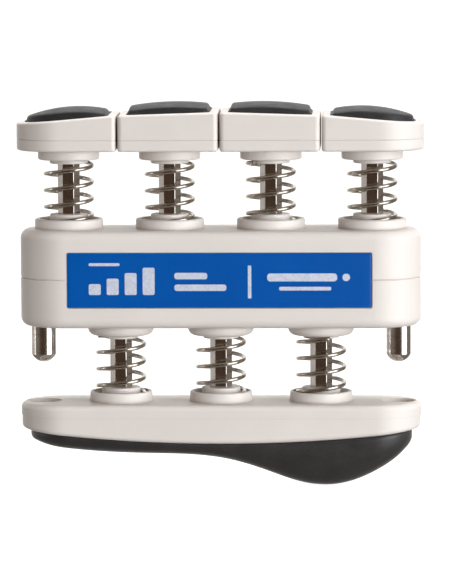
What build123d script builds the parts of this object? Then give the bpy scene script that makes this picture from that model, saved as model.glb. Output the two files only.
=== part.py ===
"""Hand and finger exerciser: four sprung finger buttons above a housing, and a sprung palm base below it.

Millimetres. +X runs along the row of buttons, +Y to the back, +Z from the palm base up to the finger pads.
The origin is under the middle of the housing, level with the lowest point of the palm pad.
"""

import math
import os

from build123d import *

# ---------------------------------------------------------------- driving dimensions
finger_pitch = 20.4  # from one finger shaft to the next
base_pitch = 20.25
finger_travel = 8.5  # a button goes down until its shaft reaches the housing floor
base_travel = 9.0  # the palm base comes up until its shafts reach the housing's ceiling
end_play = 0.2

# housing: two shells that meet at the parting line
housing_length = 80.8
housing_depth = 19.0
housing_corner = 9.2
housing_edge = 1.8
housing_bottom = 32.5
housing_top = 52.1
parting = 42.3
wall = 1.8
parting_groove = 0.2
lip_height = 0.8
lip_root = 1.0
lip_play = 0.1

# hexagon shafts, their guide bushes and their retaining clips
shaft_flats = 3.9
shaft_edge = 0.2
bore_play = 0.06
bush_stem_radius = 3.2
bush_wall_radius = 5.2
lower_bush_wall_radius = 4.9
clip_thickness = 0.7
clip_groove = 0.8
clip_radius = 3.2
clip_inner_radius = 1.6
clip_mouth = 2.6
head_radius = 3.4
head_post_radius = 2.8
head_thickness = 1.5

# springs
wire_radius = 0.42
coil_radius = 4.75
coil_pitch = 3.35
seat_play = 0.05

# small roundings on collars, bosses and rings
small_edge = 0.25

# finger side of the housing
ring_radius = 6.9
ring_bore = 5.9
ring_height = 2.0
ring_edge = 0.45
ring_inner_edge = 0.15
finger_bush_radius = 3.87
finger_bush_top = 55.0
finger_bush_bottom = 46.6

# palm side of the housing
flange_radius = 6.65
flange_bottom = 30.45
flange_edge = 1.4
base_bush_radius = 3.6
base_bush_bottom = 29.8
base_bush_top = 38.5
pin_x = 35.9
pin_radius = 2.5
pin_bottom = 24.9
pin_nose_height = 1.65
pin_spigot_radius = 1.9
pin_boss_radius = 2.8
pin_spigot_top = 36.4

# screws that close the housing and the palm base
screw_radius = 1.0
screw_head_radius = 1.8
screw_head_height = 1.0
screw_head_play = 0.1
screw_sink = 0.4
cross_length = 2.0
cross_width = 0.45
post_radius = 2.2
housing_screw_bite = 5.5
housing_screw_x = 27.5
housing_screw_y = 5.6
base_screw_x = 10.2
base_screw_y = 5.2
base_screw_head_bottom = 10.2
screw_bite = 1.6

# label on the front of the housing
label_length = 61.0
label_height = 11.0
label_corner = 0.5
label_recess = 0.35
label_thickness = 0.2
label_play = 0.15

# finger buttons
button_gap = 0.3
button_end = 41.0
button_depth = 18.6
button_edge = 0.5
button_vertical_edge = 1.0
button_end_corner = 8.8
button_bottom = 68.0
button_seam = 70.3
seam_groove = 0.1
button_wall = 1.5
outer_slope = 5.0  # degrees, down towards the ends of the row
inner_slope = 1.8
outer_high = 75.3  # height of a button's rim at its inner side
inner_high = 75.9
collar_radius = 6.2
collar_bottom = 66.0
collar_step_radius = 3.85
collar_step_bottom = 65.2
collar_edge = 0.4

# rubber finger pads
pad_inset = 1.65
pad_seat = 0.4
pad_edge = 0.5
pad_least_corner = 1.2
pad_across_radius = 42.0
outer_pad_height = 2.17  # above the cap's rim
inner_pad_height = 2.0
outer_pad_radius = 29.0  # along the row
inner_pad_radius = 55.0

# palm base
base_length = 81.0
base_depth = 18.6
base_corner = 8.9
base_edge = 1.2
base_low_edge = 0.8
base_top = 17.05
base_seam = 14.45
base_step = 0.15
base_wall = 1.6
base_low = 9.25  # middle of the base shell's bowed underside
base_bow_radius = 314.0
base_ring_radius = 6.4
base_ring_bore = 5.65
base_ring_taper = 4.0
base_boss_radius = 3.9
base_boss_top = 19.85
socket_radius = 3.5
socket_floor = 12.9
socket_wall_radius = 4.3

# palm pad: its plan, and points along its underside from left to right
palm_length = 77.2
palm_depth = 16.8
palm_corner = 8.0
palm_edge = 2.0
palm_underside = [
    (-38.6, 9.6),
    (-36.4, 8.7),
    (-30.0, 7.45),
    (-15.0, 6.6),
    (-6.0, 6.35),
    (2.0, 5.25),
    (10.0, 2.7),
    (15.5, 0.8),
    (21.3, 0.0),
    (27.0, 1.0),
    (32.5, 3.6),
    (36.6, 6.7),
    (38.6, 8.9),
]

# where around its shaft each spring's lower end lies, in degrees
finger_spring_phases = [134, 150, 275, 145]
base_spring_phases = [262, 215, 34]

finger_xs = [finger_pitch * (i - 1.5) for i in range(4)]
base_xs = [base_pitch * (i - 1) for i in range(3)]
base_sides = ["left", "middle", "right"]
hexagon_radius = shaft_flats / math.sqrt(3)  # from the centre to a corner
bore_radius = hexagon_radius + bore_play * 2 / math.sqrt(3)
floor_z = housing_bottom + wall
ceiling_z = housing_top - wall


# ---------------------------------------------------------------- shared shapes
def make_spring(x, low, high, phase):
    """Open coil spring between two seats. phase is where around the shaft its lower end lies, in degrees."""
    start = low + seat_play + wire_radius
    height = high - seat_play - wire_radius - start
    coil = Helix(coil_pitch, height, coil_radius, mode=Mode.PRIVATE)
    coil = coil.rotate(Axis.Z, phase).moved(Location((x, 0, start)))
    with BuildPart() as spring:
        with BuildSketch(Plane(origin=coil @ 0, z_dir=coil % 0)):
            Circle(wire_radius)
        sweep(path=coil, is_frenet=True)
    return spring.part


def make_shaft(x, head_bottom, tip, groove_bottom):
    """Hexagon shaft along Z from its round head to its tip, with a groove for its clip."""
    with BuildPart() as shaft:
        with BuildSketch(Plane((x, 0, min(head_bottom, tip)))):
            RegularPolygon(hexagon_radius, 6)
            fillet(vertices(), shaft_edge)
        extrude(amount=abs(tip - head_bottom))
        chamfer(edges().filter_by_position(Axis.Z, tip, tip), shaft_edge)
        with BuildSketch(Plane((x, 0, groove_bottom))):
            Circle(shaft_flats)
            Circle(clip_inner_radius, mode=Mode.SUBTRACT)
        extrude(amount=clip_groove, mode=Mode.SUBTRACT)
        with BuildSketch(Plane((x, 0, head_bottom))):
            Circle(head_radius)
        extrude(amount=head_thickness)
    return shaft.part


def make_clip(x, groove_bottom):
    """Open retaining clip that snaps into the shaft's groove from the front."""
    with BuildPart() as clip:
        with BuildSketch(Plane((x, 0, groove_bottom + (clip_groove - clip_thickness) / 2))):
            Circle(clip_radius)
            Circle(clip_inner_radius, mode=Mode.SUBTRACT)
            with Locations((0, -clip_radius)):
                Rectangle(clip_mouth, 2 * clip_radius, mode=Mode.SUBTRACT)
        extrude(amount=clip_thickness)
    return clip.part


def make_bush(x, stem_low, stem_high, collar_low, collar_high, radius):
    """Guide bush with a hexagon bore: a stem pressed into the shell and a wider collar outside it."""
    rim = collar_high if collar_high > stem_high else collar_low
    bottom = min(stem_low, collar_low)
    with BuildPart() as bush:
        with BuildSketch(Plane((x, 0, stem_low))):
            Circle(bush_stem_radius)
        extrude(amount=stem_high - stem_low)
        with BuildSketch(Plane((x, 0, collar_low))):
            Circle(radius)
        extrude(amount=collar_high - collar_low)
        fillet(edges().filter_by_position(Axis.Z, rim, rim), small_edge)
        with BuildSketch(Plane((x, 0, bottom))):
            RegularPolygon(bore_radius, 6)
        extrude(amount=max(stem_high, collar_high) - bottom, mode=Mode.SUBTRACT)
    return bush.part


def make_screws(points, head_bottom, tip):
    """Self-tapping screws with a cross slot, heads down, one solid each."""
    with BuildPart() as screws:
        with BuildSketch(Plane.XY.offset(head_bottom)):
            with Locations(*points):
                Circle(screw_head_radius - screw_head_play)
        extrude(amount=screw_head_height)
        with BuildSketch(Plane.XY.offset(head_bottom + screw_head_height)):
            with Locations(*points):
                Circle(screw_radius)
        extrude(amount=tip - head_bottom - screw_head_height)
        with BuildSketch(Plane.XY.offset(head_bottom)):
            with Locations(*points):
                Rectangle(cross_length, cross_width)
                Rectangle(cross_width, cross_length)
        extrude(amount=screw_head_height / 2, mode=Mode.SUBTRACT)
    return screws.part


def corners(x, y):
    """The four corners of a rectangle about the origin."""
    return [(sx * x, sy * y) for sx in (-1, 1) for sy in (-1, 1)]


def save(part, name):
    part.label = name
    export_step(part, f"parts/{name}.step")


os.makedirs("parts", exist_ok=True)

# ---------------------------------------------------------------- housing
with BuildPart() as housing_upper_shell:
    with BuildSketch(Plane.XY.offset(parting)):
        RectangleRounded(housing_length, housing_depth, housing_corner)
    extrude(amount=housing_top - parting)
    fillet(edges().group_by(Axis.Z)[-1], housing_edge)
    chamfer(edges().group_by(Axis.Z)[0], parting_groove)
    with BuildSketch(Plane.XY.offset(parting)):
        RectangleRounded(housing_length - 2 * wall, housing_depth - 2 * wall, housing_corner - wall)
    extrude(amount=ceiling_z - parting, mode=Mode.SUBTRACT)
    with BuildSketch(Plane.XY.offset(parting)):  # step that the lower shell's lip goes into
        RectangleRounded(housing_length - wall, housing_depth - wall, housing_corner - wall / 2)
    extrude(amount=lip_height, mode=Mode.SUBTRACT)
    with BuildSketch(Plane.XY.offset(finger_bush_bottom)):  # tubes that hold the finger bushes
        with Locations(*[(x, 0) for x in finger_xs]):
            Circle(bush_wall_radius)
    extrude(amount=ceiling_z - finger_bush_bottom)
    with BuildSketch(Plane.XY.offset(parting + lip_height)):  # screw posts
        with Locations(*corners(housing_screw_x, housing_screw_y)):
            Circle(post_radius)
    extrude(amount=ceiling_z - parting - lip_height)
    with BuildSketch(Plane.XY.offset(housing_top)):  # spring rings
        with Locations(*[(x, 0) for x in finger_xs]):
            Circle(ring_radius)
            Circle(ring_bore, mode=Mode.SUBTRACT)
    extrude(amount=ring_height)
    rims = edges().group_by(Axis.Z)[-1]
    fillet([rim for rim in rims if rim.radius > ring_bore], ring_edge)
    rims = edges().filter_by_position(Axis.Z, housing_top + ring_height, housing_top + ring_height)
    fillet([rim for rim in rims if rim.radius < ring_bore + ring_inner_edge / 2], ring_inner_edge)
    with BuildSketch(Plane.XY.offset(finger_bush_bottom)):
        with Locations(*[(x, 0) for x in finger_xs]):
            Circle(bush_stem_radius)
    extrude(amount=housing_top - finger_bush_bottom, mode=Mode.SUBTRACT)
    with BuildSketch(Plane.XY.offset(parting + lip_height)):
        with Locations(*corners(housing_screw_x, housing_screw_y)):
            Circle(screw_radius)
    extrude(amount=housing_screw_bite, mode=Mode.SUBTRACT)
    with BuildSketch(Plane.XZ.offset(housing_depth / 2)):  # label recess
        with Locations((0, parting)):
            RectangleRounded(label_length + 2 * label_play, label_height + 2 * label_play, label_corner)
    extrude(amount=-label_recess, mode=Mode.SUBTRACT)
save(housing_upper_shell.part, "housing_upper_shell")

with BuildPart() as housing_lower_shell:
    with BuildSketch(Plane.XY.offset(housing_bottom)):
        RectangleRounded(housing_length, housing_depth, housing_corner)
    extrude(amount=parting - housing_bottom)
    fillet(edges().group_by(Axis.Z)[0], housing_edge)
    chamfer(edges().group_by(Axis.Z)[-1], parting_groove)
    with BuildSketch(Plane.XY.offset(floor_z)):
        RectangleRounded(housing_length - 2 * wall, housing_depth - 2 * wall, housing_corner - wall)
    extrude(amount=parting - floor_z, mode=Mode.SUBTRACT)
    with BuildSketch(Plane.XY.offset(parting - lip_root)):  # locating lip
        RectangleRounded(housing_length - wall - 2 * lip_play, housing_depth - wall - 2 * lip_play,
                         housing_corner - wall / 2 - lip_play)
        RectangleRounded(housing_length - 2 * wall, housing_depth - 2 * wall, housing_corner - wall,
                         mode=Mode.SUBTRACT)
    extrude(amount=lip_root + lip_height - lip_play)
    with BuildSketch(Plane.XY.offset(flange_bottom)):  # round spring seats under the housing
        with Locations(*[(x, 0) for x in base_xs]):
            Circle(flange_radius)
    extrude(amount=housing_bottom - flange_bottom)
    fillet(edges().group_by(Axis.Z)[0], flange_edge)
    with BuildSketch(Plane.XY.offset(floor_z)):  # tubes that hold the lower bushes
        with Locations(*[(x, 0) for x in base_xs]):
            Circle(lower_bush_wall_radius)
    extrude(amount=base_bush_top - floor_z)
    with BuildSketch(Plane.XY.offset(floor_z)):  # pin bosses
        with Locations((-pin_x, 0), (pin_x, 0)):
            Circle(pin_boss_radius)
    extrude(amount=pin_spigot_top - floor_z)
    with BuildSketch(Plane.XY.offset(floor_z)):  # screw posts
        with Locations(*corners(housing_screw_x, housing_screw_y)):
            Circle(post_radius)
    extrude(amount=parting + lip_height - lip_play - floor_z)
    with BuildSketch(Plane.XY.offset(flange_bottom)):
        with Locations(*[(x, 0) for x in base_xs]):
            Circle(bush_stem_radius)
    extrude(amount=base_bush_top - flange_bottom, mode=Mode.SUBTRACT)
    with BuildSketch(Plane.XY.offset(housing_bottom)):
        with Locations((-pin_x, 0), (pin_x, 0)):
            Circle(pin_spigot_radius)
    extrude(amount=pin_spigot_top - housing_bottom, mode=Mode.SUBTRACT)
    with BuildSketch(Plane.XY.offset(housing_bottom)):
        with Locations(*corners(housing_screw_x, housing_screw_y)):
            Circle(screw_radius)
    extrude(amount=parting + lip_height - housing_bottom, mode=Mode.SUBTRACT)
    with BuildSketch(Plane.XY.offset(housing_bottom)):
        with Locations(*corners(housing_screw_x, housing_screw_y)):
            Circle(screw_head_radius)
    extrude(amount=screw_head_height + screw_sink, mode=Mode.SUBTRACT)
    with BuildSketch(Plane.XZ.offset(housing_depth / 2)):
        with Locations((0, parting)):
            RectangleRounded(label_length + 2 * label_play, label_height + 2 * label_play, label_corner)
    extrude(amount=-label_recess, mode=Mode.SUBTRACT)
save(housing_lower_shell.part, "housing_lower_shell")

with BuildPart() as front_label:
    with BuildSketch(Plane.XZ.offset(housing_depth / 2 - label_recess)):
        with Locations((0, parting)):
            RectangleRounded(label_length, label_height, label_corner - label_play)
    extrude(amount=label_thickness)
save(front_label.part, "front_label")

nose_radius = (pin_radius**2 + pin_nose_height**2) / (2 * pin_nose_height)
nose_sweep = math.degrees(math.asin(pin_radius / nose_radius))
for side, x in (("left", -pin_x), ("right", pin_x)):
    with BuildPart() as guide_pin:  # turned from bar, with a domed nose
        with BuildSketch(Plane(origin=(x, 0, 0), x_dir=(1, 0, 0), z_dir=(0, -1, 0))):
            with BuildLine():
                CenterArc((0, pin_bottom + nose_radius), nose_radius, 270, nose_sweep)
                Polyline((pin_radius, pin_bottom + pin_nose_height), (pin_radius, housing_bottom),
                         (pin_spigot_radius, housing_bottom), (pin_spigot_radius, pin_spigot_top),
                         (0, pin_spigot_top), (0, pin_bottom))
            make_face()
        revolve(axis=Axis((x, 0, 0), (0, 0, 1)))
    save(guide_pin.part, f"guide_pin_{side}")

save(make_screws(corners(housing_screw_x, housing_screw_y), housing_bottom + screw_sink,
                 parting + lip_height + housing_screw_bite - 1), "housing_screws")

# ---------------------------------------------------------------- finger buttons
def button_outline(length, depth, outward, outer_corner, inner_corner):
    """Rectangle about the origin, with its own radius at each end, in the active sketch."""
    Rectangle(length, depth)
    outer_end, inner_end = (-1, 0) if outward > 0 else (0, -1)
    fillet(vertices().group_by(Axis.X)[outer_end], outer_corner)
    fillet(vertices().group_by(Axis.X)[inner_end], inner_corner)


for number, x in enumerate(finger_xs, start=1):
    outward = -1 if x < 0 else 1
    outer = number in (1, 4)
    far = outward * (button_end if outer else finger_pitch - button_gap / 2)
    near = outward * (finger_pitch + button_gap / 2 if outer else button_gap / 2)
    length = abs(far - near)
    middle = (far + near) / 2
    end_corner = button_end_corner if outer else button_vertical_edge
    high = outer_high if outer else inner_high
    slope = outer_slope if outer else inner_slope
    drop = length * math.tan(math.radians(slope))
    tilt = outward * math.radians(slope)
    cavity_top = high - drop - button_wall - pad_seat
    pad_length = length - 2 * pad_inset
    pad_depth = button_depth - 2 * pad_inset
    pad_corner = max(end_corner - pad_inset, pad_least_corner)
    pad_height = outer_pad_height if outer else inner_pad_height
    along_radius = outer_pad_radius if outer else inner_pad_radius
    top_plane = Plane(
        origin=(middle, 0, high - drop / 2),
        x_dir=(math.cos(tilt), 0, -math.sin(tilt)),
        z_dir=(math.sin(tilt), 0, math.cos(tilt)),
    )

    with BuildPart() as cap:  # upper half of the button, with a sloping top
        with BuildSketch(Plane((middle, 0, button_seam))):
            button_outline(length, button_depth, outward, end_corner, button_vertical_edge)
        extrude(amount=high - button_seam)
        with BuildSketch(Plane.XZ.offset(-button_depth)):
            with BuildLine():
                above = high + drop
                Polyline((near, high), (near, above), (far, above), (far, high - drop), close=True)
            make_face()
        extrude(amount=2 * button_depth, mode=Mode.SUBTRACT)
        fillet(faces().sort_by(Axis.Z)[-1].edges(), button_edge)
        chamfer(faces().sort_by(Axis.Z)[0].edges(), seam_groove)
        with BuildSketch(Plane((middle, 0, button_seam))):
            button_outline(length - 2 * button_wall, button_depth - 2 * button_wall, outward,
                           max(end_corner - button_wall, pad_least_corner), pad_least_corner)
        extrude(amount=cavity_top - button_seam, mode=Mode.SUBTRACT)
        with BuildSketch(Plane((x, 0, button_seam))):  # post that holds the shaft's head down
            Circle(head_post_radius)
        extrude(amount=cavity_top - button_seam)
        with BuildSketch(top_plane.offset(-pad_seat)):
            button_outline(pad_length, pad_depth, outward, pad_corner, pad_least_corner)
        extrude(amount=2 * pad_seat, mode=Mode.SUBTRACT)
    save(cap.part, f"finger_{number}_cap")

    with BuildPart() as pad:  # domed rubber pad that sits in the cap's recess
        with BuildSketch(top_plane.offset(-pad_seat)):
            button_outline(pad_length, pad_depth, outward, pad_corner, pad_least_corner)
        extrude(amount=pad_seat + pad_height)
        with BuildSketch(Plane(origin=top_plane.origin, x_dir=top_plane.x_dir, z_dir=(0, -1, 0))):
            with BuildLine():
                half = length / 2
                ends = pad_height - along_radius + math.sqrt(along_radius**2 - half**2)
                core = pad_height - pad_across_radius
                ThreePointArc((-half, ends), (0, pad_height), (half, ends))
                Polyline((half, ends), (half, core), (-half, core), (-half, ends))
            make_face()
        spin = Axis(origin=(top_plane.offset(core)).origin, direction=top_plane.x_dir)
        revolve(axis=spin, revolution_arc=360, mode=Mode.INTERSECT)
        fillet(faces().sort_by(Axis.Z)[-1].edges(), pad_edge)
    save(pad.part, f"finger_{number}_pad")

    with BuildPart() as collar:  # lower half of the button, with the collar that its spring pushes on
        with BuildSketch(Plane((middle, 0, button_bottom))):
            button_outline(length, button_depth, outward, end_corner, button_vertical_edge)
        extrude(amount=button_seam - button_bottom)
        fillet(faces().sort_by(Axis.Z)[0].edges(), button_edge)
        chamfer(faces().sort_by(Axis.Z)[-1].edges(), seam_groove)
        with BuildSketch(Plane((x, 0, collar_bottom))):
            Circle(collar_radius)
        extrude(amount=button_bottom - collar_bottom)
        fillet(edges().group_by(Axis.Z)[0], collar_edge)
        with BuildSketch(Plane((x, 0, collar_step_bottom))):
            Circle(collar_step_radius)
        extrude(amount=collar_bottom - collar_step_bottom)
        fillet(edges().group_by(Axis.Z)[0], small_edge)
        with BuildSketch(Plane((x, 0, button_seam - head_thickness))):
            Circle(head_radius)
        extrude(amount=head_thickness, mode=Mode.SUBTRACT)
        with BuildSketch(Plane((x, 0, collar_step_bottom))):
            RegularPolygon(hexagon_radius, 6)
        extrude(amount=button_seam - collar_step_bottom, mode=Mode.SUBTRACT)
    save(collar.part, f"finger_{number}_collar")

    clip_low = finger_bush_bottom - clip_groove
    tip = floor_z + finger_travel + end_play
    save(make_shaft(x, button_seam - head_thickness, tip, clip_low), f"finger_{number}_shaft")
    save(make_clip(x, clip_low), f"finger_{number}_clip")
    save(make_bush(x, finger_bush_bottom, housing_top, housing_top, finger_bush_top, finger_bush_radius),
         f"finger_{number}_bush")
    phase = finger_spring_phases[number - 1]
    save(make_spring(x, housing_top, collar_bottom, phase), f"finger_{number}_spring")

# ---------------------------------------------------------------- palm base
def make_below_bow(lift):
    """Everything below the base's bowed underside, or below a surface that is lifted from it."""
    end_x = base_length / 2 + 5
    end_z = base_low + base_bow_radius - math.sqrt(base_bow_radius**2 - end_x**2)
    with BuildPart() as below_bow:
        with BuildSketch(Plane.XZ.offset(-base_depth)):
            with BuildLine():
                ThreePointArc((-end_x, end_z + lift), (0, base_low + lift), (end_x, end_z + lift))
                Polyline((end_x, end_z + lift), (end_x, -5), (-end_x, -5), (-end_x, end_z + lift))
            make_face()
        extrude(amount=2 * base_depth)
    return below_bow.part


with BuildPart() as base_cover:
    with BuildSketch(Plane.XY.offset(base_seam)):
        RectangleRounded(base_length, base_depth, base_corner)
    extrude(amount=base_top - base_seam)
    fillet(edges().group_by(Axis.Z)[-1], base_edge)
    with BuildSketch(Plane.XY.offset(base_top)):  # spring rings
        with Locations(*[(x, 0) for x in base_xs]):
            Circle(base_ring_radius)
    extrude(amount=ring_height, taper=base_ring_taper)
    fillet(edges().group_by(Axis.Z)[-1], small_edge)
    with BuildSketch(Plane.XY.offset(base_top)):
        with Locations(*[(x, 0) for x in base_xs]):
            Circle(base_ring_bore)
    extrude(amount=ring_height, mode=Mode.SUBTRACT)
    with BuildSketch(Plane.XY.offset(base_top)):  # bosses inside the springs
        with Locations(*[(x, 0) for x in base_xs]):
            Circle(base_boss_radius)
    extrude(amount=base_boss_top - base_top)
    fillet(edges().group_by(Axis.Z)[-1], small_edge)
    with BuildSketch(Plane.XY.offset(base_seam)):  # sockets for the guide pins
        with Locations((-pin_x, 0), (pin_x, 0)):
            Circle(socket_radius)
    extrude(amount=base_top - base_seam, mode=Mode.SUBTRACT)
    with BuildSketch(Plane.XY.offset(base_seam)):
        with Locations(*[(x, 0) for x in base_xs]):
            RegularPolygon(hexagon_radius, 6)
    extrude(amount=base_boss_top - base_seam, mode=Mode.SUBTRACT)
    with BuildSketch(Plane.XY.offset(base_seam)):
        with Locations(*corners(base_screw_x, base_screw_y)):
            Circle(screw_radius)
    extrude(amount=screw_bite, mode=Mode.SUBTRACT)
save(base_cover.part, "base_cover")

with BuildPart() as base_cavity:
    with BuildSketch(Plane.XY):
        RectangleRounded(base_length - 2 * base_wall, base_depth - 2 * base_wall, base_corner - base_wall)
    extrude(amount=base_seam)
    add(make_below_bow(base_wall), mode=Mode.SUBTRACT)

with BuildPart() as base_shell:
    with BuildSketch(Plane.XY):
        RectangleRounded(base_length - 2 * base_step, base_depth - 2 * base_step, base_corner - base_step)
    extrude(amount=base_seam)
    add(make_below_bow(0), mode=Mode.SUBTRACT)
    fillet(faces().sort_by(Axis.Z)[0].edges(), base_low_edge)
    add(base_cavity.part, mode=Mode.SUBTRACT)
    with BuildSketch(Plane.XY.offset(base_low + base_wall)):  # pillars that hold the shafts' heads up
        with Locations(*[(x, 0) for x in base_xs]):
            Circle(head_radius + base_wall)
    extrude(amount=base_seam - base_low - base_wall)
    with BuildSketch(Plane.XY.offset(base_low + base_wall)):
        with Locations(*corners(base_screw_x, base_screw_y)):
            Circle(post_radius)
    extrude(amount=base_seam - base_low - base_wall)
    with BuildSketch(Plane.XY.offset(socket_floor)):  # cups below the sockets
        with Locations((-pin_x, 0), (pin_x, 0)):
            Circle(socket_wall_radius)
    extrude(amount=base_seam - socket_floor)
    with BuildSketch(Plane.XY.offset(socket_floor)):
        with Locations((-pin_x, 0), (pin_x, 0)):
            Circle(socket_radius)
    extrude(amount=base_seam - socket_floor, mode=Mode.SUBTRACT)
    with BuildSketch(Plane.XY.offset(base_seam - head_thickness)):
        with Locations(*[(x, 0) for x in base_xs]):
            Circle(head_radius)
    extrude(amount=head_thickness, mode=Mode.SUBTRACT)
    with BuildSketch(Plane.XY):
        with Locations(*corners(base_screw_x, base_screw_y)):
            Circle(screw_radius)
    extrude(amount=base_seam, mode=Mode.SUBTRACT)
    with BuildSketch(Plane.XY):
        with Locations(*corners(base_screw_x, base_screw_y)):
            Circle(screw_head_radius)
    extrude(amount=base_screw_head_bottom + screw_head_height, mode=Mode.SUBTRACT)
save(base_shell.part, "base_shell")

save(make_screws(corners(base_screw_x, base_screw_y), base_screw_head_bottom, base_seam + screw_bite - 0.2),
     "base_screws")

with BuildPart() as palm_pad:
    with BuildSketch(Plane.XY.offset(-1)):
        RectangleRounded(palm_length, palm_depth, palm_corner)
    extrude(amount=base_seam)
    add(make_below_bow(0), mode=Mode.INTERSECT)
    with BuildSketch(Plane.XZ.offset(-base_depth)):
        with BuildLine():
            Spline(*palm_underside)
            first, last = palm_underside[0], palm_underside[-1]
            Polyline(last, (last[0], -5), (first[0], -5), first)
        make_face()
    extrude(amount=2 * base_depth, mode=Mode.SUBTRACT)
    low_face = faces().sort_by(Axis.Z)[0]
    fillet(low_face.edges(), palm_edge)
save(palm_pad.part, "palm_pad")

for side, x, phase in zip(base_sides, base_xs, base_spring_phases):
    tip = ceiling_z - base_travel - end_play
    save(make_shaft(x, base_seam - head_thickness, tip, base_bush_top), f"base_shaft_{side}")
    save(make_clip(x, base_bush_top), f"base_clip_{side}")
    save(make_bush(x, flange_bottom, base_bush_top, base_bush_bottom, flange_bottom, base_bush_radius),
         f"base_bush_{side}")
    save(make_spring(x, base_top, flange_bottom, phase), f"base_spring_{side}")
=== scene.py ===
"""Looks of the finger exerciser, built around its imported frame. Metres, +Z up, front to -Y."""

import math

import bmesh
import bpy
import numpy as np
from mathutils import Matrix, Vector


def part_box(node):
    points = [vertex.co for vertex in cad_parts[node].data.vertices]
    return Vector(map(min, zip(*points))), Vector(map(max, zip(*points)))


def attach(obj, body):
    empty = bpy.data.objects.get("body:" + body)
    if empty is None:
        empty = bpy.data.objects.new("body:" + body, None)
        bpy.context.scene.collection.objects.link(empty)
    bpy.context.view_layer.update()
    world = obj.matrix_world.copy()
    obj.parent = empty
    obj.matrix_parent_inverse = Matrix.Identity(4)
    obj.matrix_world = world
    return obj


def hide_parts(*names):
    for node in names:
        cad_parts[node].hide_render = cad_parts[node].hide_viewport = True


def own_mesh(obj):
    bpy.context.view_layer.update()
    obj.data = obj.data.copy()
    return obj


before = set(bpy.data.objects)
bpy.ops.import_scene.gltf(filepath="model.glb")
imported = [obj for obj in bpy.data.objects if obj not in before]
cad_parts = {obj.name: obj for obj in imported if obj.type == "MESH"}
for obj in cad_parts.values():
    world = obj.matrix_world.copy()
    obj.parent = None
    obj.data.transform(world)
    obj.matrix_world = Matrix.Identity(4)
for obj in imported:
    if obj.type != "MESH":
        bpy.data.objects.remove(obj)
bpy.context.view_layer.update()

MM = 0.001

# ---------------------------------------------------------------- driving values
# springs: the CAD coils' wire, and where around the shaft each one's lower end lies, in degrees
WIRE_RADIUS = 0.42 * MM
COIL_PITCH = 3.35 * MM
COIL_RINGS_PER_TURN = 60
COIL_SIDES = 14
FINGER_SPRING_PHASES = (134, 150, 275, 145)
BASE_SPRING_PHASES = {"left": 262, "middle": 215, "right": 34}

# a rounded outline's points: along a side, along half of an end, and around a corner
PAD_STEPS = (14, 5, 10)
LABEL_STEPS = (40, 4, 6)
MARK_STEPS = (6, 2, 6)
SMALLEST_CORNER = 0.02 * MM

# rubber pads on the finger buttons: set in from the button's sides, with a drafted wall and a
# domed top. The top's rings reach in over PAD_TOP_REACH of half its depth
PAD_INSET = 1.65 * MM
PAD_DRAFT = 0.45 * MM
PAD_SEAT = 0.4 * MM
PAD_WALL_LEVELS = (-0.05 * MM, 0.1 * MM)
PAD_CORNER = 1.2 * MM
PAD_END_CORNER = 7.0 * MM
PAD_EDGE = 0.6 * MM
PAD_EDGE_RINGS = 7
PAD_TOP_RINGS = 14
PAD_TOP_REACH = 0.95
PAD_ACROSS_RADIUS = 42 * MM
OUTER_PAD = {"slope": 5.0, "rim": 75.3 * MM, "height": 2.17 * MM, "radius": 29 * MM}
INNER_PAD = {"slope": 1.8, "rim": 75.9 * MM, "height": 1.99 * MM, "radius": 55 * MM}

# palm pad: the base's bowed underside above it, and points along its own underside in mm
PALM_CORNER = 8.0 * MM
PALM_FULLNESS = 2.6
PALM_END_EDGE = 0.8 * MM
PALM_COLUMNS = 150
PALM_ACROSS = 40
BASE_LOW = 9.25 * MM
BASE_BOW_RADIUS = 314 * MM
PALM_UNDERSIDE = (
    (-38.6, 9.6), (-36.4, 8.7), (-30.0, 7.45), (-15.0, 6.6), (-6.0, 6.35), (2.0, 5.25), (10.0, 2.7),
    (15.5, 0.8), (21.3, 0.0), (27.0, 1.0), (32.5, 3.6), (36.6, 6.7), (38.6, 8.9),
)

# label film: its edge is softly rounded, and its two ends are rolled back a little
LABEL_CORNER = 0.35 * MM
LABEL_EDGE = 0.05 * MM
LABEL_EDGE_RINGS = 4
LABEL_ROLLED = 0.5 * MM
LABEL_ROLL_RADIUS = 0.95 * MM
LABEL_INSETS = (0.1, 0.15, 0.2, 0.25, 0.3, 0.36, 0.43, 0.5, 2.2, 3.8, 5.2)  # mm

# printed marks, in mm: centre x, centre z from the label's middle, width, height, corner
INK_STANDS_OUT = 0.012 * MM
INK_DEPTH = 0.03 * MM
INK_EDGE = 0.008 * MM
INK_EDGE_INSET = 0.03
BAR_HEIGHTS = (2.2, 3.3, 4.4, 5.5)
BAR_WIDTH, BAR_PITCH, BAR_CORNER = 2.4, 3.6, 0.35
FIRST_BAR_X, BARS_STAND_ON = -24.9, -2.9
RULES_AND_DOT = (
    (-23.0, 3.2, 6.2, 0.6, 0.25),
    (-5.65, 0.9, 6.6, 1.3, 0.5),
    (-3.75, -1.45, 10.4, 1.3, 0.5),
    (6.1, -0.3, 0.7, 6.6, 0.15),
    (16.6, 0.6, 14.0, 1.6, 0.65),
    (17.2, -1.65, 10.4, 0.75, 0.3),
    (25.4, 0.6, 1.5, 1.5, 0.7),
)

# camera: a long lens a little above the object and to its right. Angles are in degrees
CAMERA_DISTANCE = 0.870
CAMERA_ELEVATION = 5.8
CAMERA_LENS = 265.4
CAMERA_SENSOR = 36
CAMERA_FAR = 50
CAMERA_YAW = 2.0
CAMERA_ROLL = -0.25
CAMERA_AIM = (1.05 * MM, 0.0, 39.04 * MM)

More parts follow.
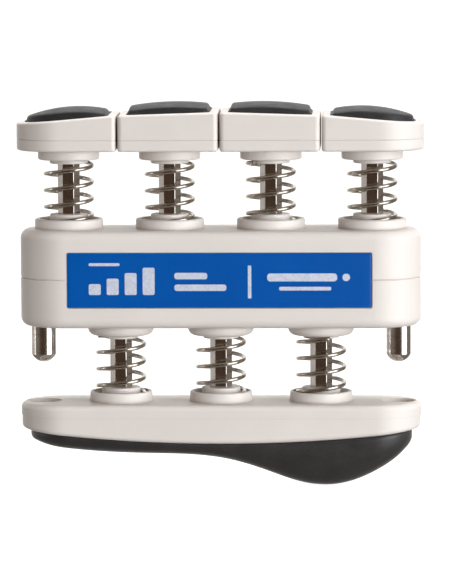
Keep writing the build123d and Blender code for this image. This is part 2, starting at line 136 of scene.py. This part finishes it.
# softboxes: name, azimuth, elevation, distance, (width, height), watts, colour, and whether the
# object mirrors them
LIGHTS = (
    ("key", 56, 8, 0.9, (0.74, 0.8), 7.0, (0.955, 0.975, 1.0), True),
    ("front_fill", 22, -2, 0.8, (0.5, 0.4), 3.05, (0.985, 0.995, 1.0), False),
    ("left_strip", -86, 4, 0.9, (0.06, 0.7), 0.5, (1.0, 1.0, 1.0), True),
    ("left_fill", -118, 5, 0.95, (1.3, 1.1), 1.5, (1.0, 0.985, 0.965), True),
    ("top", 160, 78, 0.8, (0.7, 0.5), 6.6, (1.0, 0.985, 0.965), True),
)

# surroundings, from the front, 0, to the back, 1
WORLD_STOPS = (
    (0.0, (0.068, 0.042, 0.028)),
    (0.05, (0.082, 0.055, 0.038)),
    (0.16, (0.20, 0.175, 0.15)),
    (0.5, (0.22, 0.20, 0.18)),
    (0.86, (0.20, 0.18, 0.16)),
    (0.965, (1.25, 1.24, 1.23)),
)

FLOOR_REACH = 30
FLOOR_GREY = 0.30
FLOOR_GLOW = 0.97

# base colours, and how much darker the clouds in the white plastic are
WHITE = (1, 1, 1)
CLOUD_SHADE = 0.955
BODY_WHITE = (0.80, 0.755, 0.722)
BUSH_WHITE = (0.84, 0.795, 0.76)
# painted shade: the brownish tone that the white plastic darkens to in its seams and creases
PAINTED_SEAM_SHADE = (0.50, 0.43, 0.37)
PALM_DARK, PALM_PALE = (0.0165, 0.0155, 0.0162), (0.0305, 0.0282, 0.0292)
PAD_DARK, PAD_PALE = (0.0108, 0.0114, 0.0133), (0.0195, 0.020, 0.0224)
RUBBER_SPECK = (0.046, 0.043, 0.044)
BAR_TARNISH, BAR_BRIGHT, BAR_LINE = (0.62, 0.575, 0.53), (0.80, 0.775, 0.745), (0.52, 0.48, 0.44)
PIN_TARNISH, PIN_BRIGHT, PIN_LINE = (0.64, 0.59, 0.54), (0.82, 0.79, 0.76), (0.40, 0.36, 0.32)
WIRE_TARNISH, WIRE_BRIGHT, WIRE_LINE = (0.51, 0.455, 0.39), (0.71, 0.66, 0.595), (0.34, 0.29, 0.24)
ZINC_GREY, ZINC_YELLOW, ZINC_BLUE = (0.52, 0.53, 0.55), (0.66, 0.65, 0.60), (0.60, 0.62, 0.66)
FILM_DARK, FILM_BLUE = (0.0002, 0.082, 0.385), (0.0005, 0.094, 0.425)
FILM_DOT = (0.003, 0.125, 0.49)
INK_THIN, INK_FULL = (0.50, 0.56, 0.70), (0.66, 0.70, 0.80)

OCCLUSION_SAMPLES = 6


# ---------------------------------------------------------------- mesh helpers
def new_object(name, verts, faces, smooth=True):
    mesh = bpy.data.meshes.new(name)
    mesh.from_pydata([tuple(v) for v in verts], [], faces)
    mesh.validate()
    if smooth:
        mesh.polygons.foreach_set("use_smooth", [True] * len(mesh.polygons))
    obj = bpy.data.objects.new(name, mesh)
    bpy.context.scene.collection.objects.link(obj)
    return obj


def recalculate_normals(obj):
    bm = bmesh.new()
    bm.from_mesh(obj.data)
    bmesh.ops.recalc_face_normals(bm, faces=bm.faces)
    bm.to_mesh(obj.data)
    bm.free()


def outline(half_x, half_y, left_corner, right_corner, inset, steps):
    """The back half of a rounded rectangle, from the middle of its left end to its right end's."""
    side_steps, end_steps, arc_steps = steps
    hx, hy = half_x - inset, half_y - inset
    left = max(left_corner - inset, SMALLEST_CORNER)
    right = max(right_corner - inset, SMALLEST_CORNER)
    row = []
    for i in range(end_steps):
        row.append((-hx, (hy - left) * i / end_steps))
    for i in range(arc_steps + 1):
        a = math.pi / 2 * i / arc_steps
        row.append((-hx + left - left * math.cos(a), hy - left + left * math.sin(a)))
    for i in range(1, side_steps):
        row.append((-hx + left + (2 * hx - left - right) * i / side_steps, hy))
    for i in range(arc_steps + 1):
        a = math.pi / 2 * i / arc_steps
        row.append((hx - right + right * math.sin(a), hy - right + right * math.cos(a)))
    for i in range(end_steps - 1, -1, -1):
        row.append((hx, (hy - right) * i / end_steps))
    return row


def loop_of(row):
    """The closed loop of a row that runs along the back, and its mirror image along the front."""
    return row + [(x, -y) for x, y in reversed(row[1:-1])]


def skin(rows, count, first=0):
    """Quads between closed rows of count points each. The first row starts at the point first."""
    faces = []
    for k in range(rows - 1):
        low, high = first + k * count, first + (k + 1) * count
        for i in range(count):
            j = (i + 1) % count
            faces.append((low + i, low + j, high + j, high + i))
    return faces


def loft(name, loops, ends=0):
    """Skin over loops with equal numbers of points. The first and last loop are closed by strips
    across them. If ends is more than 0, each end of those two loops is closed by one face instead,
    which reaches that many points to either side of the end's middle."""
    count = len(loops[0])
    verts = [p for loop in loops for p in loop]
    faces = skin(len(loops), count)
    for k in (0, len(loops) - 1):
        caps = []
        for i in range(ends, count // 2 - ends):
            caps.append([i, i + 1, (count - i - 1) % count, (count - i) % count])
        if ends:
            for middle in (0, count // 2):
                caps.append([(middle + i) % count for i in range(-ends, ends + 1)])
        faces += [tuple(k * count + i for i in dict.fromkeys(cap)) for cap in caps]
    obj = new_object(name, verts, faces)
    recalculate_normals(obj)
    return obj


def edge_drop(inset, radius):
    """How far a quarter-round edge lies below its surface, at this inset from the outside."""
    if inset >= radius:
        return 0.0
    return radius - math.sqrt(radius**2 - (radius - inset) ** 2)


def edge_insets(edge, rings):
    """Insets that step evenly around a quarter-round edge."""
    return [edge * (1 - math.cos(math.pi / 2 * i / rings)) for i in range(rings + 1)]


def add_uvs(obj, uvs):
    layer = obj.data.uv_layers.new(name="wire")
    for loop in obj.data.loops:
        layer.data[loop.index].uv = uvs[loop.vertex_index]


# ---------------------------------------------------------------- shader helpers
def set_stops(node, stops):
    """Fills a colour ramp. A stop is a position, and a colour or one number for a grey."""
    elements = node.color_ramp.elements
    for i, (position, color) in enumerate(stops):
        element = elements[i] if i < 2 else elements.new(position)
        element.position = position
        element.color = (*color, 1) if hasattr(color, "__len__") else (color, color, color, 1)


class Shader:
    """A material's node tree, with short names for the nodes that the materials below share."""

    def __init__(self, name):
        self.material = bpy.data.materials.new(name)
        self.material.use_nodes = True
        self.nodes = self.material.node_tree.nodes
        self.links = self.material.node_tree.links
        self.surface = self.nodes["Principled BSDF"]

    def set(self, **values):
        """Sets the surface's own sockets, with _ for each space in their names."""
        for key, value in values.items():
            self.surface.inputs[key.replace("_", " ")].default_value = value

    def link(self, out, socket):
        self.links.new(out, socket)

    def place(self, stretch, uv):
        coords = self.nodes.new("ShaderNodeTexCoord")
        mapping = self.nodes.new("ShaderNodeMapping")
        mapping.inputs["Scale"].default_value = stretch
        self.link(coords.outputs["UV" if uv else "Object"], mapping.inputs["Vector"])
        return mapping.outputs["Vector"]

    def noise(self, scale, detail, roughness, stretch=(1, 1, 1), uv=False):
        """Scale times stretch is the number of grains to the metre, or to one unit of the UVs."""
        node = self.nodes.new("ShaderNodeTexNoise")
        node.inputs["Scale"].default_value = scale
        node.inputs["Detail"].default_value = detail
        node.inputs["Roughness"].default_value = roughness
        self.link(self.place(stretch, uv), node.inputs["Vector"])
        return node.outputs["Fac"]

    def ramp(self, value, *stops):
        node = self.nodes.new("ShaderNodeValToRGB")
        set_stops(node, stops)
        self.link(value, node.inputs["Fac"])
        return node.outputs["Color"]

    def mix(self, factor, a, b, kind="MIX"):
        node = self.nodes.new("ShaderNodeMix")
        node.data_type = "RGBA"
        node.blend_type = kind
        for value, socket in ((factor, node.inputs[0]), (a, node.inputs[6]), (b, node.inputs[7])):
            if isinstance(value, bpy.types.NodeSocket):
                self.link(value, socket)
            elif hasattr(value, "__len__"):
                socket.default_value = (*value, 1)
            else:
                socket.default_value = value
        return node.outputs[2]

    def bump(self, height, strength, distance, normal=None):
        node = self.nodes.new("ShaderNodeBump")
        node.inputs["Strength"].default_value = strength
        node.inputs["Distance"].default_value = distance
        self.link(height, node.inputs["Height"])
        if normal is not None:
            self.link(normal, node.inputs["Normal"])
        return node.outputs["Normal"]

    def occlusion(self, distance):
        node = self.nodes.new("ShaderNodeAmbientOcclusion")
        node.samples = OCCLUSION_SAMPLES
        node.inputs["Distance"].default_value = distance
        return node.outputs["AO"]

    def finish(self, color, roughness, normal):
        self.link(color, self.surface.inputs["Base Color"])
        self.link(roughness, self.surface.inputs["Roughness"])
        self.link(normal, self.surface.inputs["Normal"])
        return self.material


# ---------------------------------------------------------------- materials
def white_plastic(name, tone):
    """Moulded plastic, a warm off-white: faint clouding, an eroded grain, and painted shade in the
    seams.
    """
    s = Shader(name)
    s.set(Specular_IOR_Level=0.5, Subsurface_Weight=0.06, Subsurface_Scale=0.0012)
    s.set(Subsurface_Radius=(1.0, 0.85, 0.7))
    darker = tuple(c * CLOUD_SHADE for c in tone)
    clouds = s.ramp(s.noise(55, detail=3, roughness=0.55), (0.35, darker), (0.65, tone))
    # painted shade: ambient occlusion darkens seams, creases and gaps between parts towards a
    # brownish tone
    painted_crease_shade = s.ramp(s.occlusion(1.2 * MM), (0.15, PAINTED_SEAM_SHADE), (0.75, WHITE))
    color = s.mix(1.0, clouds, painted_crease_shade, kind="MULTIPLY")
    rough = s.ramp(s.noise(900, detail=3, roughness=0.6), (0.3, 0.36), (0.7, 0.5))
    grain = s.bump(s.noise(5200, detail=2, roughness=0.6), strength=0.22, distance=0.02 * MM)
    waves = s.noise(120, detail=1, roughness=0.4)
    ripple = s.bump(waves, strength=0.10, distance=0.10 * MM, normal=grain)
    return s.finish(color, rough, ripple)


def black_rubber(name, dark, pale, gloss, smoothest, roughest):
    """Moulded rubber: charcoal, with a fine matte grain, a little bloom, and paler specks."""
    s = Shader(name)
    s.set(Specular_IOR_Level=gloss, Sheen_Weight=0.05, Sheen_Roughness=0.5)
    bloom = s.ramp(s.noise(160, detail=4, roughness=0.65), (0.30, dark), (0.75, pale))
    specks = s.ramp(s.noise(2600, detail=2, roughness=0.7), (0.56, 0.0), (0.78, 1.0))
    color = s.mix(specks, bloom, RUBBER_SPECK)
    rough = s.ramp(s.noise(380, detail=3, roughness=0.6), (0.3, smoothest), (0.7, roughest))
    grain = s.bump(s.noise(4200, detail=3, roughness=0.65), strength=0.55, distance=0.045 * MM)
    waves = s.noise(210, detail=2, roughness=0.5)
    swell = s.bump(waves, strength=0.16, distance=0.16 * MM, normal=grain)
    return s.finish(color, rough, swell)


def polished_steel():
    """Nickel-plated drawn bar: bright, with fine lines along its length and cloudy tarnish."""
    s = Shader("polished_steel")
    s.set(Metallic=1.0, Anisotropic=0.25)
    tarnish = s.ramp(s.noise(420, detail=3, roughness=0.6), (0.3, BAR_TARNISH), (0.7, BAR_BRIGHT))
    lines = s.noise(1.0, detail=3, roughness=0.6, stretch=(9000, 9000, 110))
    color = s.mix(s.ramp(lines, (0.35, 0.0), (0.7, 0.35)), tarnish, BAR_LINE)
    rough = s.ramp(lines, (0.3, 0.10), (0.7, 0.20))
    normal = s.bump(lines, strength=0.10, distance=0.006 * MM)
    return s.finish(color, rough, normal)


def turned_steel():
    """Turned and plated steel: bright, with fine tool marks running around it."""
    s = Shader("turned_steel")
    s.set(Metallic=1.0)
    tarnish = s.ramp(s.noise(420, detail=3, roughness=0.6), (0.3, PIN_TARNISH), (0.7, PIN_BRIGHT))
    lines = s.noise(1.0, detail=3, roughness=0.65, stretch=(40, 40, 5200))
    color = s.mix(s.ramp(lines, (0.45, 0.0), (0.68, 0.55)), tarnish, PIN_LINE)
    rough = s.ramp(lines, (0.3, 0.12), (0.7, 0.26))
    normal = s.bump(lines, strength=0.35, distance=0.012 * MM)
    return s.finish(color, rough, normal)


def spring_wire():
    """Plated spring wire, with drawing lines along it."""
    s = Shader("spring_wire")
    s.set(Metallic=1.0)
    tarnish = s.ramp(s.noise(700, detail=3, roughness=0.6), (0.3, WIRE_TARNISH), (0.7, WIRE_BRIGHT))
    lines = s.noise(1.0, detail=2, roughness=0.6, stretch=(6, 40, 1), uv=True)
    color = s.mix(s.ramp(lines, (0.4, 0.0), (0.7, 0.4)), tarnish, WIRE_LINE)
    rough = s.ramp(lines, (0.3, 0.13), (0.7, 0.27))
    normal = s.bump(lines, strength=0.14, distance=0.008 * MM)
    return s.finish(color, rough, normal)


def zinc_steel():
    """Zinc-plated stampings and screws: pale grey, cloudy, with a faint yellow passivation."""
    s = Shader("zinc_steel")
    s.set(Metallic=1.0)
    cloudy = s.noise(900, detail=4, roughness=0.6)
    clouds = s.ramp(cloudy, (0.3, ZINC_GREY), (0.5, ZINC_YELLOW), (0.7, ZINC_BLUE))
    rough = s.ramp(s.noise(1800, detail=3, roughness=0.6), (0.3, 0.26), (0.7, 0.42))
    normal = s.bump(s.noise(5200, detail=2, roughness=0.6), strength=0.2, distance=0.01 * MM)
    return s.finish(clouds, rough, normal)


def label_film():
    """Printed vinyl film, a saturated blue, with a faint screen grain under a satin laminate."""
    s = Shader("label_film")
    s.set(Specular_IOR_Level=0.3)
    shade = s.ramp(s.noise(70, detail=2, roughness=0.5), (0.3, FILM_DARK), (0.7, FILM_BLUE))
    dots = s.ramp(s.noise(7000, detail=1, roughness=0.5), (0.45, 0.0), (0.7, 0.14))
    color = s.mix(dots, shade, FILM_DOT)
    rough = s.ramp(s.noise(600, detail=3, roughness=0.6), (0.3, 0.14), (0.7, 0.22))
    normal = s.bump(s.noise(1500, detail=2, roughness=0.5), strength=0.06, distance=0.008 * MM)
    return s.finish(color, rough, normal)


def label_ink():
    """White screen ink on the film, a little uneven and slightly blue where it is thin."""
    s = Shader("label_ink")
    s.set(Specular_IOR_Level=0.4)
    color = s.ramp(s.noise(2200, detail=3, roughness=0.6), (0.30, INK_THIN), (0.62, INK_FULL))
    rough = s.ramp(s.noise(1200, detail=2, roughness=0.5), (0.3, 0.40), (0.7, 0.55))
    normal = s.bump(s.noise(3800, detail=2, roughness=0.5), strength=0.16, distance=0.008 * MM)
    return s.finish(color, rough, normal)


# ---------------------------------------------------------------- pieces
def make_spring(node, phase):
    """Coil of round wire in the CAD coil's place, its ends cut square."""
    low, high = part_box(node)
    cx, cy = (low.x + high.x) / 2, (low.y + high.y) / 2
    radius = (high.x - low.x) / 2 - WIRE_RADIUS
    start = low.z + WIRE_RADIUS
    height = high.z - low.z - 2 * WIRE_RADIUS
    turns = height / COIL_PITCH
    rings = int(turns * COIL_RINGS_PER_TURN)
    slope = COIL_PITCH / (2 * math.pi * radius)
    verts, uvs = [], []
    for i in range(rings + 1):
        a = math.radians(phase) + 2 * math.pi * turns * i / rings
        outward = Vector((math.cos(a), math.sin(a), 0))
        along = Vector((-math.sin(a), math.cos(a), slope)).normalized()
        up = along.cross(outward) * -1
        centre = Vector((cx, cy, start + height * i / rings)) + outward * radius
        for k in range(COIL_SIDES):
            b = 2 * math.pi * k / COIL_SIDES
            verts.append(centre + (outward * math.cos(b) + up * math.sin(b)) * WIRE_RADIUS)
            uvs.append((turns * i / rings, k / COIL_SIDES))
    faces = skin(rings + 1, COIL_SIDES)
    faces.append(tuple(range(COIL_SIDES)))
    faces.append(tuple(rings * COIL_SIDES + k for k in reversed(range(COIL_SIDES))))
    obj = new_object(node.replace("spring", "coil"), verts, faces)
    for polygon in obj.data.polygons[-2:]:
        polygon.use_smooth = False
    recalculate_normals(obj)
    add_uvs(obj, uvs)
    return obj


def make_finger_pad(number):
    """Domed rubber pad with a rounded edge, on the sloping top of its button."""
    outer = number in (1, 4)
    outward = -1 if number < 3 else 1
    shape = OUTER_PAD if outer else INNER_PAD
    cap_low, cap_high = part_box(f"finger_{number}_cap")
    length = cap_high.x - cap_low.x
    half_x = length / 2 - PAD_INSET
    half_y = (cap_high.y - cap_low.y) / 2 - PAD_INSET
    slope = math.radians(shape["slope"])
    middle_z = shape["rim"] - length * math.tan(slope) / 2
    origin = Vector(((cap_low.x + cap_high.x) / 2, 0, middle_z))
    along = Vector((math.cos(slope), 0, -math.sin(slope) * outward))
    up = Vector((math.sin(slope) * outward, 0, math.cos(slope)))
    far_corner = PAD_END_CORNER if outer else PAD_CORNER
    left, right = (far_corner, PAD_CORNER) if outward < 0 else (PAD_CORNER, far_corner)

    def height(u, v):
        return shape["height"] - u * u / (2 * shape["radius"]) - v * v / (2 * PAD_ACROSS_RADIUS)

    def ring(inset, level=None):
        points = []
        for u, v in loop_of(outline(half_x, half_y, left, right, inset, PAD_STEPS)):
            if level is None:
                w = height(u, v) - edge_drop(inset - PAD_DRAFT, PAD_EDGE)
            else:
                w = level
            points.append(origin + along * u + Vector((0, v, 0)) + up * w)
        return points

    flat_from = PAD_DRAFT + PAD_EDGE
    flat_width = half_y * PAD_TOP_REACH - PAD_DRAFT - PAD_EDGE
    insets = [PAD_DRAFT + d for d in edge_insets(PAD_EDGE, PAD_EDGE_RINGS)]
    insets += [flat_from + flat_width * (i / PAD_TOP_RINGS) for i in range(1, PAD_TOP_RINGS + 1)]
    loops = [ring(0, level) for level in (-PAD_SEAT, *PAD_WALL_LEVELS)]
    loops += [ring(inset) for inset in insets]
    return loft(f"finger_{number}_rubber", loops, ends=sum(PAD_STEPS[1:]))


def natural_spline(points):
    """Smooth curve y(x) through points, as a natural cubic spline."""
    x = np.array([p[0] for p in points], float)
    y = np.array([p[1] for p in points], float)
    h, n = np.diff(x), len(x)
    a, b = np.eye(n), np.zeros(n)
    for i in range(1, n - 1):
        a[i, i - 1:i + 2] = h[i - 1], 2 * (h[i - 1] + h[i]), h[i]
        b[i] = 6 * ((y[i + 1] - y[i]) / h[i] - (y[i] - y[i - 1]) / h[i - 1])
    m = np.linalg.solve(a, b)

    def value(at):
        at = min(max(at, x[0]), x[-1])
        i = min(max(int(np.searchsorted(x, at)) - 1, 0), n - 2)
        p, q = x[i + 1] - at, at - x[i]
        bend = (m[i] * p**3 + m[i + 1] * q**3) / (6 * h[i])
        before = (y[i] / h[i] - m[i] * h[i] / 6) * p
        after = (y[i + 1] / h[i] - m[i + 1] * h[i] / 6) * q
        return float(bend + before + after)

    return value


def make_palm_pad():
    """Moulded palm rest, thin at the left and bulging at the right, rounded across like a hull."""
    low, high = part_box("palm_pad")
    half_x, half_y = (high.x - low.x) / 2, (high.y - low.y) / 2
    underside = natural_spline([(x * MM, z * MM) for x, z in PALM_UNDERSIDE])

    def top(x):
        return BASE_LOW + BASE_BOW_RADIUS - math.sqrt(BASE_BOW_RADIUS**2 - x * x)

    def half_width(x):
        into_corner = max(abs(x) - (half_x - PALM_CORNER), 0)
        return half_y - PALM_CORNER + math.sqrt(max(PALM_CORNER**2 - into_corner**2, 0))

    def bottom(x):
        return underside(x) + edge_drop(half_x - abs(x), PALM_END_EDGE)

    loops = []
    for i in range(PALM_COLUMNS + 1):
        x = -half_x * math.cos(math.pi * i / PALM_COLUMNS)
        wide, deep = half_width(x), top(x) - bottom(x)
        loop = []
        for k in range(PALM_ACROSS + 1):  # along the underside, closer together at its two edges
            t = -math.cos(math.pi * k / PALM_ACROSS)
            rise = 1 - (1 - abs(t) ** PALM_FULLNESS) ** (1 / PALM_FULLNESS)
            loop.append(Vector((x, wide * t, bottom(x) + deep * rise)))
        for k in range(PALM_ACROSS - 1, 0, -1):  # and back along the top
            t = -math.cos(math.pi * k / PALM_ACROSS)
            loop.append(Vector((x, wide * t, top(x))))
        loops.append(loop)
    return loft("palm_rubber", loops)


def make_label():
    """Film in the housing's recess, with a rounded edge and its two ends rolled back a little."""
    low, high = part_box("front_label")
    half_x, half_z = (high.x - low.x) / 2, (high.z - low.z) / 2
    middle_z = (low.z + high.z) / 2

    def front(x, inset):
        into_roll = max(LABEL_ROLLED - (half_x - abs(x)), 0)
        rolled_back = LABEL_ROLL_RADIUS - math.sqrt(LABEL_ROLL_RADIUS**2 - into_roll**2)
        return low.y + edge_drop(inset, LABEL_EDGE) + rolled_back

    def ring(inset, flat=None):
        points = []
        corner = LABEL_CORNER
        for x, z in loop_of(outline(half_x, half_z, corner, corner, inset, LABEL_STEPS)):
            points.append(Vector((x, front(x, inset) if flat is None else flat, middle_z + z)))
        return points

    loops = [ring(0, high.y)]
    loops += [ring(inset) for inset in edge_insets(LABEL_EDGE, LABEL_EDGE_RINGS)]
    loops += [ring(inset * MM) for inset in LABEL_INSETS]
    return loft("label_film", loops, ends=sum(LABEL_STEPS[1:]))


def make_label_print():
    """Printed marks on the label: stepped bars, ruled lines, a divider and a dot."""
    low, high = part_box("front_label")
    middle_z = (low.z + high.z) / 2
    front = low.y - INK_STANDS_OUT
    rings = ((0, front + INK_DEPTH), (0, front + INK_EDGE), (INK_EDGE_INSET, front))
    marks = []
    for i, tall in enumerate(BAR_HEIGHTS):
        centre_x, centre_z = FIRST_BAR_X + BAR_PITCH * i, BARS_STAND_ON + tall / 2
        marks.append((centre_x, centre_z, BAR_WIDTH, tall, BAR_CORNER))
    marks += RULES_AND_DOT

    verts, faces = [], []
    for cx, cz, width, tall, corner in marks:
        first = len(verts)
        for inset, y in rings:
            loop = loop_of(outline(width / 2, tall / 2, corner, corner, inset, MARK_STEPS))
            verts += [Vector((cx * MM + x * MM, y, middle_z + (cz + z) * MM)) for x, z in loop]
        count = len(loop)
        last = first + (len(rings) - 1) * count
        faces += skin(len(rings), count, first)
        faces.append(tuple(last + i for i in range(count)))
        faces.append(tuple(first + i for i in reversed(range(count))))
    obj = new_object("label_print", verts, faces, smooth=False)
    recalculate_normals(obj)
    return obj


# ---------------------------------------------------------------- stage
def direction(azimuth, elevation):
    """Unit vector away from the object. Azimuth 0 is in front, and positive is to the right."""
    a, e = math.radians(azimuth), math.radians(elevation)
    return Vector((math.sin(a) * math.cos(e), -math.cos(a) * math.cos(e), math.sin(e)))


def make_camera():
    data = bpy.data.cameras.new("camera")
    data.lens = CAMERA_LENS
    data.sensor_width = CAMERA_SENSOR
    data.clip_end = CAMERA_FAR
    camera = bpy.data.objects.new("camera", data)
    bpy.context.scene.collection.objects.link(camera)
    away = direction(CAMERA_YAW, CAMERA_ELEVATION)
    camera.location = Vector(CAMERA_AIM) + CAMERA_DISTANCE * away
    turn = (Matrix.Rotation(math.radians(CAMERA_YAW), 3, "Z")
            @ Matrix.Rotation(math.radians(90 - CAMERA_ELEVATION), 3, "X")
            @ Matrix.Rotation(math.radians(CAMERA_ROLL), 3, "Z"))
    camera.rotation_euler = turn.to_euler()
    bpy.context.scene.camera = camera


def make_light(name, azimuth, elevation, distance, size, watts, color, mirrored):
    """Rectangular softbox that faces the object."""
    data = bpy.data.lights.new(name, "AREA")
    data.shape = "RECTANGLE"
    data.size, data.size_y = size
    data.energy = watts
    data.color = color
    light = bpy.data.objects.new(name, data)
    bpy.context.scene.collection.objects.link(light)
    away = direction(azimuth, elevation)
    light.location = Vector(CAMERA_AIM) + distance * away
    light.rotation_euler = away.to_track_quat("Z", "Y").to_euler()
    light.visible_glossy = mirrored


def make_world():
    """Studio: dark and brown in front, dim and warm at the sides, and a white sweep at the back."""
    world = bpy.data.worlds.new("studio")
    bpy.context.scene.world = world
    world.use_nodes = True
    nodes, links = world.node_tree.nodes, world.node_tree.links
    coords = nodes.new("ShaderNodeTexCoord")
    split = nodes.new("ShaderNodeSeparateXYZ")
    ramp = nodes.new("ShaderNodeValToRGB")
    scale = nodes.new("ShaderNodeMapRange")
    scale.inputs["From Min"].default_value = -1
    links.new(coords.outputs["Generated"], split.inputs["Vector"])
    links.new(split.outputs["Y"], scale.inputs["Value"])
    links.new(scale.outputs["Result"], ramp.inputs["Fac"])
    set_stops(ramp, WORLD_STOPS)
    links.new(ramp.outputs["Color"], nodes["Background"].inputs["Color"])


def make_floor():
    """Plain pale floor, bright enough to read as a white sweep, which doesn't tint the object."""
    r = FLOOR_REACH
    corners = [(-r, -r, 0), (r, -r, 0), (r, r, 0), (-r, r, 0)]
    floor = new_object("floor", corners, [(0, 1, 2, 3)], smooth=False)
    s = Shader("floor_paper")
    s.set(Roughness=0.9, Specular_IOR_Level=0.1, Base_Color=(FLOOR_GREY, FLOOR_GREY, FLOOR_GREY, 1))
    s.set(Emission_Color=(1, 1, 1, 1), Emission_Strength=FLOOR_GLOW)
    floor.data.materials.append(s.material)
    floor.visible_diffuse = False
    floor.visible_glossy = False
    floor.visible_shadow = False


# ---------------------------------------------------------------- assembly
make_camera()
make_world()
make_floor()
for row in LIGHTS:
    make_light(*row)
bpy.context.scene.view_settings.view_transform = "Standard"

plastic = white_plastic("white_plastic", BODY_WHITE)
bush = white_plastic("white_bush", BUSH_WHITE)
palm_rubber = black_rubber("palm_rubber", PALM_DARK, PALM_PALE,
                           gloss=0.8, smoothest=0.40, roughest=0.54)
pad_rubber = black_rubber("pad_rubber", PAD_DARK, PAD_PALE,
                          gloss=0.42, smoothest=0.46, roughest=0.62)
steel = polished_steel()
turned = turned_steel()
wire = spring_wire()
zinc = zinc_steel()
film = label_film()
ink = label_ink()

# the first of these words in a CAD node's name gives its material, and the last row takes the rest
FINISHES = (
    ("clip", zinc), ("screws", zinc), ("guide_pin", turned), ("shaft", steel), ("spring", wire),
    ("palm_pad", palm_rubber), ("pad", pad_rubber), ("bush", bush), ("label", film), ("", plastic),
)


def paint(obj, material):
    obj.data.materials.clear()
    obj.data.materials.append(material)


def stand_in(piece, node, body, material):
    """Paints a new piece and puts it in its CAD node's place."""
    paint(piece, material)
    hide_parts(node)
    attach(piece, body)


for node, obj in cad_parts.items():
    paint(obj, next(material for word, material in FINISHES if word in node))

for number, phase in enumerate(FINGER_SPRING_PHASES, start=1):
    node = f"finger_{number}_spring"
    coil = make_spring(node, phase)
    stand_in(coil, node, "housing", wire)
    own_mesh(coil)
    pad = make_finger_pad(number)
    stand_in(pad, f"finger_{number}_pad", f"finger_{number}", pad_rubber)

for side, phase in BASE_SPRING_PHASES.items():
    node = f"base_spring_{side}"
    coil = make_spring(node, phase)
    stand_in(coil, node, "housing", wire)
    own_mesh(coil)

stand_in(make_palm_pad(), "palm_pad", "palm_base", palm_rubber)
stand_in(make_label(), "front_label", "housing", film)
marks = make_label_print()
paint(marks, ink)
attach(marks, "housing")
